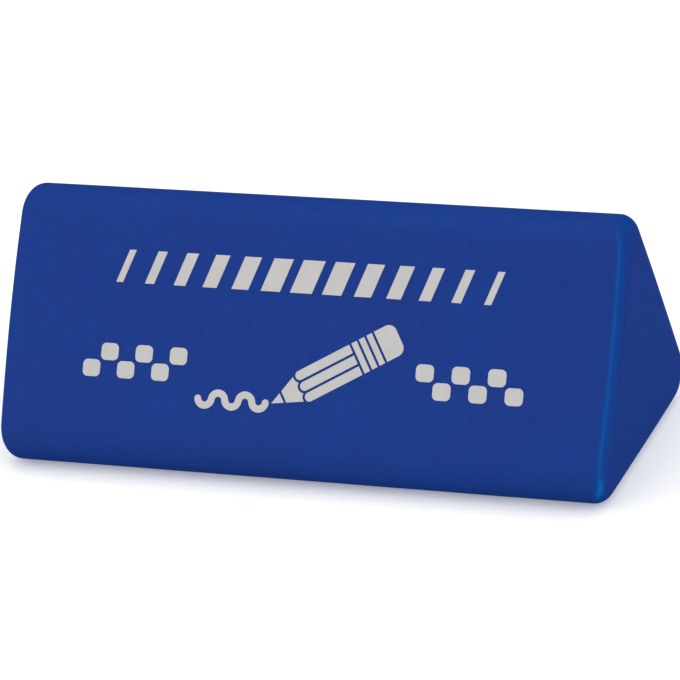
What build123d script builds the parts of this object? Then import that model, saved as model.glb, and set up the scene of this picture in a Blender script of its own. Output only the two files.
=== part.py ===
from build123d import *
from math import cos, radians, sin, tan
import os

# A three-sided block eraser, in millimetres: a soft bar with an equilateral section that lies on one of
# its long faces, with a ridge on top. +X runs along the bar, +Z is up, the printed face looks towards -Y
# and leans back, and the origin is the middle of the face that the bar lies on.

# Block
length = 45.0  # end to end
side = 23.2  # one side of the section, measured to its sharp corners
edge_radius = 2.4  # along the three long edges
rim_radius = 1.2  # round each end
end_bow = 0.32  # by how much the ends stand out in their middle, seen square on to the printed face

# Print, all in one colour. Its places are given on the printed face: x along the bar and y up the face,
# from the middle of that face.
ink_thickness = 0.04
print_gap = 0.18  # bare line between neighbouring printed shapes

# Checks, a little wider than tall, in two rows that take turns
check_width = 1.29
check_height = 1.2
check_corner_radius = 0.36
check_row_count = 3
check_centre_x = 12.25
check_centre_y = -2.55

# Stripe of slanted bars, widest in the middle
bar_count = 13
bar_pitch = 2.25
bar_height = 2.3
bar_width_middle = 1.6
bar_width_end = 0.5
bar_slant = 20.0  # degrees from upright
stripe_y = 4.1

# Pencil, drawn from its point towards its rubber
pencil_point_x = -1.9
pencil_point_y = -4.75
pencil_tilt = 30.0  # degrees above the length of the bar
pencil_width = 2.3
lead_length = 0.85
cone_length = 2.7
barrel_length = 4.1
facet_count = 3
band_width = 0.42
band_count = 3
rubber_length = 1.5
rubber_radius = 0.6

# Wavy line that ends at the pencil's point
wave_width = 0.5
wave_height = 0.45  # from its middle line to the middle of a crest
wave_step = 1.0  # from one crossing of its middle line to the next
wave_count = 5

section_angle = 60.0
half_length = length / 2
corner_x = half_length - end_bow
half_side = side / 2
rise = side * sin(radians(section_angle))

printed_face = Plane(
    origin=(0, -half_side / 2, rise / 2),
    x_dir=(1, 0, 0),
    z_dir=(0, -sin(radians(section_angle)), cos(radians(section_angle))),
)

# The bar is drawn out of the section with round long edges, cut to length by ends that bow out a little as
# a soft bar does under the blade, and tumbled until its rims are round too.
with BuildPart() as eraser_block:
    with BuildSketch(Plane.YZ):
        with BuildLine():
            Polyline((-half_side, 0), (half_side, 0), (0, rise), close=True)
        make_face()
    extrude(amount=half_length, both=True)
    fillet(eraser_block.edges().filter_by(Axis.X), edge_radius)
    with BuildSketch(printed_face):
        with BuildLine():
            right_cut = ThreePointArc((corner_x, -half_side), (half_length, 0), (corner_x, half_side))
            left_cut = ThreePointArc((-corner_x, half_side), (-half_length, 0), (-corner_x, -half_side))
            Line(right_cut @ 1, left_cut @ 0)
            Line(left_cut @ 1, right_cut @ 0)
        make_face()
    extrude(amount=-side, mode=Mode.INTERSECT)
    ends = eraser_block.faces().sort_by(Axis.X)
    fillet(ends[0].edges() + ends[-1].edges(), rim_radius)

with BuildPart() as check_print_left:
    with BuildSketch(printed_face):
        lower_row = (-check_centre_x - check_width / 2, check_centre_y - check_height / 2)
        upper_row = (-check_centre_x + check_width / 2, check_centre_y + check_height / 2)
        with Locations(lower_row, upper_row):
            with GridLocations(2 * check_width, check_height, check_row_count, 1):
                RectangleRounded(check_width, check_height, check_corner_radius)
    extrude(amount=ink_thickness)

with BuildPart() as check_print_right:
    mirror(check_print_left.part, about=Plane.YZ)

bar_lean = bar_height * tan(radians(bar_slant))
middle_bar = (bar_count - 1) / 2

with BuildPart() as stripe_print:
    with BuildSketch(printed_face):
        for bar in range(bar_count):
            steps_out = abs(bar - middle_bar)
            taper = (bar_width_middle - bar_width_end) * steps_out / middle_bar
            bar_width = bar_width_middle - taper
            with Locations(((bar - middle_bar) * bar_pitch, stripe_y)):
                Trapezoid(bar_width + bar_lean, bar_height, 90 - bar_slant, 90 + bar_slant)
    extrude(amount=ink_thickness)

pencil_place = Location((pencil_point_x, pencil_point_y, 0), (0, 0, pencil_tilt))
pencil_plane = Plane(printed_face.location * pencil_place)
facet_pitch = (pencil_width + print_gap) / facet_count
facet_height = facet_pitch - print_gap
band_pitch = band_width + print_gap
first_band_x = cone_length + barrel_length + print_gap
rubber_x = first_band_x + band_count * band_pitch
wave_end_x = pencil_point_x - print_gap - wave_width / 2
middle_left = (Align.MIN, Align.CENTER)

# The barrel's round facet ends bite into the sharpened cone, as on a pencil out of a sharpener.
with BuildPart() as pencil_print:
    with BuildSketch(pencil_plane) as pencil:
        with BuildLine():
            Polyline(
                (0, 0),
                (cone_length, pencil_width / 2),
                (cone_length, -pencil_width / 2),
                close=True,
            )
        make_face()
        with Locations((lead_length, 0)):
            Rectangle(print_gap, pencil_width, align=middle_left, mode=Mode.SUBTRACT)
        with Locations((cone_length, 0)):
            with GridLocations(facet_pitch, facet_pitch, 1, facet_count):
                Circle(facet_height / 2 + print_gap, mode=Mode.SUBTRACT)
                Circle(facet_height / 2)
                Rectangle(barrel_length, facet_height, align=middle_left)
        for band in range(band_count):
            with Locations((first_band_x + band * band_pitch, 0)):
                Rectangle(band_width, pencil_width, align=middle_left)
        with Locations((rubber_x, 0)):
            Rectangle(rubber_length, pencil_width, align=middle_left)
        fillet(pencil.vertices().group_by(Axis.X)[-1], rubber_radius)
    with BuildSketch(printed_face):
        with BuildLine() as wave:
            for step in range(wave_count):
                SagittaArc(
                    (wave_end_x - step * wave_step, pencil_point_y),
                    (wave_end_x - (step + 1) * wave_step, pencil_point_y),
                    wave_height * (-1) ** step,
                )
        trace(line_width=wave_width)
        with Locations(wave.line @ 0, wave.line @ 1):
            Circle(wave_width / 2)
    extrude(amount=ink_thickness)

pieces = {
    "eraser_block": eraser_block,
    "check_print_left": check_print_left,
    "check_print_right": check_print_right,
    "stripe_print": stripe_print,
    "pencil_print": pencil_print,
}
os.makedirs("parts", exist_ok=True)
for name, piece in pieces.items():
    piece.part.label = name
    export_step(piece.part, f"parts/{name}.step")
    print(name, len(piece.part.solids()), "solids,", round(piece.part.volume, 3), "mm3")
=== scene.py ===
# %% [markdown]
# A block eraser with three long faces. One soft blue bar lies on a table with a ridge on top, its edges are
# round, and the face towards us carries a print in one pale colour. The bar and the print already exist as
# solids, which the first lines load as a fixed frame in metres: +X along the bar, +Z up, and the printed
# face leaning back from -Y. Everything in this lesson is made in that frame.

# %% Load the fixed frame
from math import cos, pi, radians, sin, sqrt

import bmesh
import bpy
from mathutils import Euler, Matrix, Vector, noise


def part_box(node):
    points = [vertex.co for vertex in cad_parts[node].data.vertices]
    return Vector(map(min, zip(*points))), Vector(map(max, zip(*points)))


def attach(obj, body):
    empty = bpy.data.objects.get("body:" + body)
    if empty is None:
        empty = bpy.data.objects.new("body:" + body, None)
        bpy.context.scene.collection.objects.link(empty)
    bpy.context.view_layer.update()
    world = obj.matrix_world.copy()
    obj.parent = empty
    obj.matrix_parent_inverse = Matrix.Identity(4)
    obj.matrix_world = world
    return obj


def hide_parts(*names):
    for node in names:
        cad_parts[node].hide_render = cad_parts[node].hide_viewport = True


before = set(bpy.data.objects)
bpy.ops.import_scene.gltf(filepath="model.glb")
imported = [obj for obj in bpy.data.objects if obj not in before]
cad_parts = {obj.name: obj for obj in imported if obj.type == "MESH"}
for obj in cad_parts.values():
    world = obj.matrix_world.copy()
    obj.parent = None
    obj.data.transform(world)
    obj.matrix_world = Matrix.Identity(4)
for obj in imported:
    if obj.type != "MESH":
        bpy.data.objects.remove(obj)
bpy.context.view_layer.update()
MM = 0.001
print("nodes", sorted(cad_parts))

# %% [markdown]
# The camera comes first, because every later choice is judged through it. A long lens from about 0.3 m sees
# the printed face almost square on and the right end at a steep slant. The bar seems to run downhill to the
# right, which is a camera that is turned a little about its own line of sight, not a bar that is tipped up.
# The turn is put on after the camera has been aimed, so the aim stays where it is.

# %% Camera
image_size_px = 680
focal_length_px = 4205.0
sensor_width_mm = 36
camera_aim = Vector((2.406, -5.064, 9.586)) * MM
camera_distance = 288.61 * MM
camera_azimuth = radians(21.963)
camera_elevation = radians(25.326)
camera_roll = radians(-5.97)

camera = bpy.data.objects.new("camera", bpy.data.cameras.new("camera"))
camera.data.sensor_width = sensor_width_mm
camera.data.lens = sensor_width_mm * focal_length_px / image_size_px
camera.data.clip_start = 10 * MM
level_turn = Euler((pi / 2 - camera_elevation, 0, camera_azimuth)).to_matrix()
camera_turn = level_turn @ Matrix.Rotation(camera_roll, 3, "Z")
camera_place = camera_aim + level_turn @ Vector((0, 0, camera_distance))
camera.matrix_world = Matrix.Translation(camera_place) @ camera_turn.to_4x4()
bpy.context.collection.objects.link(camera)
bpy.context.scene.camera = camera
print("lens", round(camera.data.lens, 1), "mm, camera at", [round(c / MM, 1) for c in camera_place])

# %% [markdown]
# Two small helpers serve every material. Colours are picked from pictures as sRGB hex values, but shaders
# add up light, so a colour is turned to linear once, here. The second helper adds one node with its settings
# and its links. It looks sockets up by their identifier, because a Mix node has several sockets named A.

# %% Helpers for materials
def linear(hex_colour):
    channels = [int(hex_colour[i : i + 2], 16) / 255 for i in (1, 3, 5)]
    return (*(c / 12.92 if c <= 0.04045 else ((c + 0.055) / 1.055) ** 2.4 for c in channels), 1.0)


def add_node(tree, kind, inputs=(), **settings):
    node = tree.nodes.new(kind)
    for name, value in settings.items():
        setattr(node, name, value)
    sockets = {socket.identifier: socket for socket in node.inputs}
    for name, value in dict(inputs).items():
        if isinstance(value, tuple) and isinstance(value[0], bpy.types.Node):
            source, output = value
            tree.links.new(next(s for s in source.outputs if s.identifier == output), sockets[name])
        else:
            sockets[name].default_value = value
    return node


def new_material(name):
    material = bpy.data.materials.new(name)
    material.use_nodes = True
    material.node_tree.nodes.clear()
    return material, material.node_tree


def per_metre(size_mm):
    return 1 / (size_mm * MM)


print("mid grey #808080 is", round(linear("#808080")[0], 3), "in linear light")

# %% [markdown]
# The bar is vinyl eraser compound: soft PVC with filler and a strong blue pigment, drawn out of a die, cut
# and tumbled. The eye sees an even blue with a faint cloudiness where the pigment was kneaded in, small
# specks of filler and a very fine grain, and a noise texture gives each of these at its own size. The edges
# are mixed towards a purer, lighter blue by an attribute that the mesh will carry: a little on every edge,
# and in full on the right end's rim, where it is a painted highlight along the strip lamp's bright line.
# The low sheen keeps the blue of the pigment: even the end that is seen at a slant has no white veil. So
# the shader's colourless reflection is off, and a small share of its metallic one, which takes the base
# colour, stands in for it. Its tint holds that reflection back where it would turn white at a slant.

# %% Vinyl eraser compound
kneading_size_mm = 7.0
speck_size_mm = 0.6
speck_strength = 0.8
# The real grain is about 0.1 mm, under two pixels here, so it is drawn at twice that to show at all.
grain_size_mm = 0.22
grain_depth = 0.004 * MM
edge_and_highlight_tint = 0.7

vinyl, tree = new_material("tumbled_vinyl_eraser_compound")
place = add_node(tree, "ShaderNodeTexCoord")
kneading = add_node(
    tree,
    "ShaderNodeTexNoise",
    {
        "Vector": (place, "Object"),
        "Scale": per_metre(kneading_size_mm),
        "Detail": 3.0,
        "Roughness": 0.55,
    },
)
specks = add_node(
    tree,
    "ShaderNodeTexNoise",
    {"Vector": (place, "Object"), "Scale": per_metre(speck_size_mm), "Detail": 2.0, "Roughness": 0.6},
)
grain = add_node(
    tree,
    "ShaderNodeTexNoise",
    {"Vector": (place, "Object"), "Scale": per_metre(grain_size_mm), "Detail": 2.0, "Roughness": 0.6},
)
edge_and_highlight_mask = add_node(tree, "ShaderNodeAttribute", attribute_name="rubbed_edge")
cloud = add_node(
    tree,
    "ShaderNodeMix",
    {
        "Factor_Float": (kneading, "Fac"),
        "A_Color": linear("#283D8C"),
        "B_Color": linear("#1F4599"),
    },
    data_type="RGBA",
)
speckled = add_node(
    tree,
    "ShaderNodeMix",
    {
        "Factor_Float": (specks, "Fac"),
        "A_Color": linear("#DDDDDD"),
        "B_Color": linear("#FFFFFF"),
    },
    data_type="RGBA",
)
skin = add_node(
    tree,
    "ShaderNodeMix",
    {
        "Factor_Float": speck_strength,
        "A_Color": (cloud, "Result_Color"),
        "B_Color": (speckled, "Result_Color"),
    },
    data_type="RGBA",
    blend_type="MULTIPLY",
)
# Painted highlight: the edge attribute mixes in a purer, lighter blue, a little on every edge and in full on
# the right end's rim.
edge_and_highlight_amount = add_node(
    tree,
    "ShaderNodeMapRange",
    {"Value": (edge_and_highlight_mask, "Fac"), "To Max": edge_and_highlight_tint},
)
blue = add_node(
    tree,
    "ShaderNodeMix",
    {
        "Factor_Float": (edge_and_highlight_amount, "Result"),
        "A_Color": (skin, "Result_Color"),
        "B_Color": linear("#064496"),
    },
    data_type="RGBA",
)
sheen = add_node(
    tree,
    "ShaderNodeMapRange",
    {"Value": (grain, "Fac"), "From Min": 0.3, "From Max": 0.7, "To Min": 0.28, "To Max": 0.36},
)
relief = add_node(
    tree,
    "ShaderNodeBump",
    {"Height": (grain, "Fac"), "Distance": grain_depth, "Strength": 1.0},
)
shader = add_node(
    tree,
    "ShaderNodeBsdfPrincipled",
    {
        "Base Color": (blue, "Result_Color"),
        "Roughness": (sheen, "Result"),
        "Metallic": 0.12,
        "IOR": 1.53,
        "Specular IOR Level": 0.0,
        "Specular Tint": linear("#B2B4C2"),
        "Normal": (relief, "Normal"),
    },
)
add_node(tree, "ShaderNodeOutputMaterial", {"Surface": (shader, "BSDF")})
print(vinyl.name, len(tree.nodes), "nodes")

# %% [markdown]
# The print is pad-printing ink, a pale grey film that a silicone pad lays down in one go. It dries dead
# matte, so its shader has no gloss, and a little uneven: slightly thinner in cloudy patches, with a soft
# tooth from the skin below it.

# %% Pad-printing ink
ink_patch_size_mm = 1.4
# Ink tooth is finer than this on the real thing, and is drawn at a size that the picture can hold.
ink_tooth_size_mm = 0.18
ink_tooth_depth = 0.004 * MM

ink, tree = new_material("pad_printing_ink")
place = add_node(tree, "ShaderNodeTexCoord")
patches = add_node(
    tree,
    "ShaderNodeTexNoise",
    {"Vector": (place, "Object"), "Scale": per_metre(ink_patch_size_mm), "Detail": 3.0, "Roughness": 0.6},
)
tooth = add_node(
    tree,
    "ShaderNodeTexNoise",
    {"Vector": (place, "Object"), "Scale": per_metre(ink_tooth_size_mm), "Detail": 1.0},
)
film = add_node(
    tree,
    "ShaderNodeMix",
    {
        "Factor_Float": (patches, "Fac"),
        "A_Color": linear("#C0BFBE"),
        "B_Color": linear("#CFCDCB"),
    },
    data_type="RGBA",
)
relief = add_node(
    tree,
    "ShaderNodeBump",
    {"Height": (tooth, "Fac"), "Distance": ink_tooth_depth, "Strength": 1.0},
)
shader = add_node(
    tree,
    "ShaderNodeBsdfPrincipled",
    {
        "Base Color": (film, "Result_Color"),
        "Roughness": 0.6,
        "IOR": 1.48,
        "Specular IOR Level": 0.0,
        "Normal": (relief, "Normal"),
    },
)
add_node(tree, "ShaderNodeOutputMaterial", {"Surface": (shader, "BSDF")})
print(ink.name, len(tree.nodes), "nodes")

# %% [markdown]
# The die that the bar is drawn through is a triangle with round corners. A bevel on the corners of a sharp
# triangle would give parts of an ellipse, because its corners aren't square, and the solid has true arcs.
# A circle cut in three and pulled apart has them: each third moves out to its own corner, and the three edges
# between them stretch into the flat sides. The work is done in millimetres and scaled at the very end.

# %% Section of the bar
edge_radius = 2.4
arc_points = 17
flat_cuts = 20

block_low, block_high = (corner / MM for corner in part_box("eraser_block"))
length = block_high.x - block_low.x
side = (block_high.z + edge_radius) / sin(pi / 3)
corner_reach = side / sqrt(3) - 2 * edge_radius
# The circle is a little larger, so that its flat sides and not its points touch the solid's faces.
circle_points = 3 * arc_points
circle_radius = edge_radius / cos(pi / circle_points)

bar = bmesh.new()
bmesh.ops.create_circle(bar, cap_ends=True, segments=circle_points, radius=circle_radius)
corners = [Matrix.Rotation(turn * 2 * pi / 3, 3, "Z") @ Vector((0, 1, 0)) for turn in range(3)]
thirds = [[v for v in bar.verts if v.co.angle(corner) < pi / 3] for corner in corners]
for corner, third in zip(corners, thirds):
    bmesh.ops.translate(bar, verts=third, vec=corner * corner_reach)
bmesh.ops.translate(bar, verts=bar.verts, vec=(0, side / (2 * sqrt(3)), 0))
flats = [edge for edge in bar.edges if edge.calc_length() > edge_radius]
bmesh.ops.subdivide_edges(bar, edges=flats, cuts=flat_cuts)
print("section: side", round(side, 2), "mm,", len(bar.verts), "points,", len(flats), "flat sides")

# %% [markdown]
# Extruding the section draws the bar out to where its round rims begin. Loops across it, close together,
# let later cells move its surface softly. The two ends are the only faces with more than four corners, and
# that is how they are found.

# %% Draw out the bar
loop_spacing = 0.8
rim_radius = 1.2

straight_length = length - 2 * rim_radius
drawn = bmesh.ops.extrude_face_region(bar, geom=bar.faces[:])
far_end = [item for item in drawn["geom"] if isinstance(item, bmesh.types.BMVert)]
bmesh.ops.translate(bar, verts=far_end, vec=(0, 0, straight_length))
bmesh.ops.translate(bar, verts=bar.verts, vec=(0, 0, -straight_length / 2))
end_faces = [face for face in bar.faces if len(face.verts) > 4]
runs = [edge for edge in bar.edges if edge.calc_length() > straight_length / 2]
bmesh.ops.subdivide_edges(bar, edges=runs, cuts=round(straight_length / loop_spacing) - 1)
print("bar:", len(bar.faces), "faces,", len(end_faces), "open ends to finish")

# %% [markdown]
# Each end is rolled over by small insets. One step of a quarter circle goes in by the change of its cosine
# and out by the change of its sine, so nine steps make a round rim, and round the corners it turns into a
# part of a ring.

# %% Roll the rims
rim_steps = 9

for end_face in end_faces:
    for step in range(rim_steps):
        before = pi / 2 * step / rim_steps
        after = pi / 2 * (step + 1) / rim_steps
        bmesh.ops.inset_region(
            bar,
            faces=[end_face],
            use_boundary=True,
            use_even_offset=True,
            thickness=rim_radius * (cos(before) - cos(after)),
            depth=rim_radius * (sin(after) - sin(before)),
        )
reach = [v.co.z for v in bar.verts]
print("rims rolled: from", round(min(reach), 3), "to", round(max(reach), 3), "mm")

# %% [markdown]
# The ends of the real bar aren't flat. Seen square on to the printed face, each end bows out by about a third
# of a millimetre, as soft stuff does when a blade pushes through it, and the solid has that bow. The blade
# also went a little askew: the bow's crest lies above the middle of the face on the right and below it on the
# left. The flat end faces are sliced into narrow strips first, and then every point is drawn in along the
# bar by the square of its distance from the crest, which leaves each crest at the solid's full length.

# %% Bow the ends
end_bow = 0.32
right_crest = 3.6
left_crest = -2.3
lean = pi / 6
merge_distance = 0.001
# The cuts stop just past the flat of the end, where the rims begin.
steps_up_the_face = range(-11, 12)
steps_into_the_bar = range(1, 22)

up_printed_face = Vector((sin(lean), cos(lean), 0))
out_of_printed_face = Vector((-cos(lean), sin(lean), 0))
printed_face_middle = Vector((-side / 4, side * sin(pi / 3) / 2, 0))
cross_cuts = [(up_printed_face, step * loop_spacing) for step in steps_up_the_face]
cross_cuts += [(out_of_printed_face, -step * loop_spacing) for step in steps_into_the_bar]
big_faces = [face for face in bar.faces if len(face.verts) > 4]
for big_face in big_faces:
    patch = [big_face, *big_face.edges, *big_face.verts]
    for direction, offset in cross_cuts:
        cut = bmesh.ops.bisect_plane(
            bar,
            geom=patch,
            dist=merge_distance,
            plane_co=printed_face_middle + direction * offset,
            plane_no=direction,
        )
        patch = cut["geom"]
for v in bar.verts:
    crest = right_crest if v.co.z > 0 else left_crest
    rise = ((v.co - printed_face_middle).dot(up_printed_face) - crest) / (side / 2)
    v.co.z *= 1 - end_bow / (length / 2) * rise**2
print("ends bowed:", len(bar.faces), "faces")

# %% [markdown]
# Tumbling leaves no surface quite true. The back, the base, the ends and the edges are let in by a few
# hundredths of a millimetre, in slow waves, and the printed face stays true because the ink lies on it.
# While every point's direction is at hand, the cell also notes how far it has turned away from the flat
# faces: that is the attribute of purer blue edges that the vinyl reads. The right end's rim counts in full,
# as a painted highlight along the bright line, and the other edges count a little.

# %% Tumble the surface
wave_size = 4.0
wave_depth = 0.03
least_wave = 0.25
# A high power keeps the waves off the printed face and lets them begin soon beyond its edge.
print_hold = 12
full_tint_slope = sin(pi / 6)
other_edges_share = 0.15

bmesh.ops.recalc_face_normals(bar, faces=bar.faces)
bar.normal_update()
out_of_back = Vector((cos(lean), sin(lean), 0))
flat_directions = [out_of_printed_face, out_of_back, Vector((0, -1, 0))]
flat_directions += [Vector((0, 0, 1)), Vector((0, 0, -1))]
edge_and_highlight_layer = bar.verts.layers.float.new("rubbed_edge")
moves = []
for v in bar.verts:
    facing = max(v.normal.dot(direction) for direction in flat_directions)
    turned_away = min((1 - facing) / (1 - cos(pi / 4)), 1)
    highlight_at_right_end = min(max(v.normal.z, 0) / full_tint_slope, 1)
    # Painted highlight: the right end's rim gets the purer blue in full, the other edges a little.
    v[edge_and_highlight_layer] = turned_away * (other_edges_share + (1 - other_edges_share) * highlight_at_right_end)
    on_print = max(v.normal.dot(out_of_printed_face), 0) ** print_hold
    wave = 0.5 + 0.5 * noise.noise(v.co / wave_size)
    depth = wave_depth * (least_wave + (1 - least_wave) * wave) * (1 - on_print)
    moves.append((v, v.normal * -depth))
for v, move in moves:
    v.co += move
print("let in by", round(max(move.length for v, move in moves), 3), "mm at most")

# %% [markdown]
# Now the bar is turned to lie along X, brought to metres and made an object. It stands for the solid of the
# same bar, which stays in the physics, and it rides on the object's only body.

# %% Finish the bar
lay_along_x = Matrix(((0, 0, 1), (1, 0, 0), (0, 1, 0))).to_4x4()
bmesh.ops.transform(bar, matrix=Matrix.Scale(MM, 4) @ lay_along_x, verts=bar.verts)
bmesh.ops.recalc_face_normals(bar, faces=bar.faces)
for face in bar.faces:
    face.smooth = True
open_edges = [edge for edge in bar.edges if not edge.is_manifold]
bar_mesh = bpy.data.meshes.new("tumbled_bar")
bar.to_mesh(bar_mesh)
bar.free()
bar_mesh.materials.append(vinyl)
tumbled_bar = bpy.data.objects.new("tumbled_bar", bar_mesh)
bpy.context.collection.objects.link(tumbled_bar)
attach(tumbled_bar, "root")
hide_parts("eraser_block")
print("tumbled_bar:", len(bar_mesh.polygons), "faces,", len(open_edges), "open edges")

# %% [markdown]
# The printed shapes are right as solids: thin films with crisp edges, which lie on the printed face. They
# stay as they are and only get their ink.

# %% Ink the printed shapes
printed_nodes = ["check_print_left", "check_print_right", "stripe_print", "pencil_print"]
for name in printed_nodes:
    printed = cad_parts[name]
    printed.data.materials.clear()
    printed.data.materials.append(ink)
print("inked", len(printed_nodes), "printed shapes")

# %% [markdown]
# The eraser lies on white card that is wide enough to fill the picture. To the camera and to reflections the
# card is as white as the picture's background, and it keeps a soft shadow of the bar. To the light that it
# throws back at the bar it is a greyer card, because the base edge of the bar is a good deal darker than its
# front. A faint glow of its own, as on a light table, keeps the shadow pale and that edge from going black.

# %% White card
card_half_width = 1.5
card_glow = 0.24

card, tree = new_material("white_card")
path = add_node(tree, "ShaderNodeLightPath")
mirrored = add_node(
    tree,
    "ShaderNodeMath",
    {"Value": (path, "Is Glossy Ray"), "Value_001": (path, "Is Transmission Ray")},
    operation="MAXIMUM",
)
seen = add_node(
    tree,
    "ShaderNodeMath",
    {"Value": (path, "Is Camera Ray"), "Value_001": (mirrored, "Value")},
    operation="MAXIMUM",
)
paper_colour = add_node(
    tree,
    "ShaderNodeMix",
    {"Factor_Float": (seen, "Value"), "A_Color": linear("#A0A0A0"), "B_Color": linear("#FAFAFA")},
    data_type="RGBA",
)
paper = add_node(tree, "ShaderNodeBsdfDiffuse", {"Color": (paper_colour, "Result_Color")})
glow = add_node(tree, "ShaderNodeEmission", {"Strength": card_glow})
shader = add_node(
    tree,
    "ShaderNodeAddShader",
    {"Shader": (paper, "BSDF"), "Shader_001": (glow, "Emission")},
)
add_node(tree, "ShaderNodeOutputMaterial", {"Surface": (shader, "Shader")})
floor_mesh = bmesh.new()
bmesh.ops.create_grid(floor_mesh, x_segments=1, y_segments=1, size=card_half_width)
floor_data = bpy.data.meshes.new("card_floor")
floor_mesh.to_mesh(floor_data)
floor_mesh.free()
floor_data.materials.append(card)
card_floor = bpy.data.objects.new("card_floor", floor_data)
bpy.context.collection.objects.link(card_floor)
print("card floor", [round(d, 2) for d in card_floor.dimensions], "m")

# %% [markdown]
# The light is that of a white tent: bright all round, so every face has almost the same blue. A large lamp
# overhead lifts the ridge, and two weaker ones fill the left and the right. The fills are kept out of
# reflections, which leaves the rims clean for one thing: the round rim between the printed face and the right
# end shows a thin bright line. That is a tall narrow strip lamp far round to the right, which serves as a
# reflection only. Its green-blue colour makes the line a clearer blue than the faces beside it. At the lower
# corner the rim looks down, so the strip runs on below the card, and a foot lamp there brightens its end.
# Only the bar can stop the light of these two, so it passes through the card.

# %% Light
tent_strength = 0.79
rim_light_colour = "#20FFB4"

tent = bpy.data.worlds.new("white_tent")
tent.use_nodes = True
tent.node_tree.nodes.clear()
sky = add_node(
    tent.node_tree,
    "ShaderNodeBackground",
    {"Color": linear("#FFFFFF"), "Strength": tent_strength},
)
add_node(tent.node_tree, "ShaderNodeOutputWorld", {"Surface": (sky, "Background")})
bpy.context.scene.world = tent
bpy.context.scene.view_settings.view_transform = "Standard"


def soft_lamp(name, direction, distance, width, height, watts):
    data = bpy.data.lights.new(name, "AREA")
    data.shape = "RECTANGLE"
    data.size, data.size_y, data.energy = width, height, watts
    lamp = bpy.data.objects.new(name, data)
    towards = Vector(direction).normalized()
    turn = towards.to_track_quat("Z", "Y").to_matrix().to_4x4()
    lamp.matrix_world = Matrix.Translation(camera_aim + towards * distance) @ turn
    bpy.context.collection.objects.link(lamp)
    return lamp


# Each lamp: its direction from the bar, then distance, width and height in metres, then watts.
soft_lamp("overhead_lamp", (0.05, -0.1, 0.99), 0.6, 0.6, 0.6, 0.58)
soft_lamp("left_fill_lamp", (-0.8, -0.5, 0.35), 0.5, 0.4, 0.4, 0.62).visible_glossy = False
soft_lamp("right_fill_lamp", (0.95, -0.2, 0.25), 0.5, 0.4, 0.4, 0.5).visible_glossy = False
bar_alone = bpy.data.collections.new("bar_alone")
bar_alone.objects.link(tumbled_bar)
# The line's clearer blue also comes from the painted highlight in the vinyl's colour on this rim.
rim_lamps = [
    soft_lamp("strip_lamp", (0.85, -0.43, 0.10), 0.5, 0.04, 2.0, 5.6),
    soft_lamp("foot_lamp", (0.62, -0.10, -0.77), 0.45, 0.18, 0.45, 4.4),
]
for rim_lamp in rim_lamps:
    rim_lamp.visible_diffuse = False
    rim_lamp.data.color = linear(rim_light_colour)[:3]
    rim_lamp.light_linking.blocker_collection = bar_alone
print("lamps", [lamp.name for lamp in bpy.data.lights])
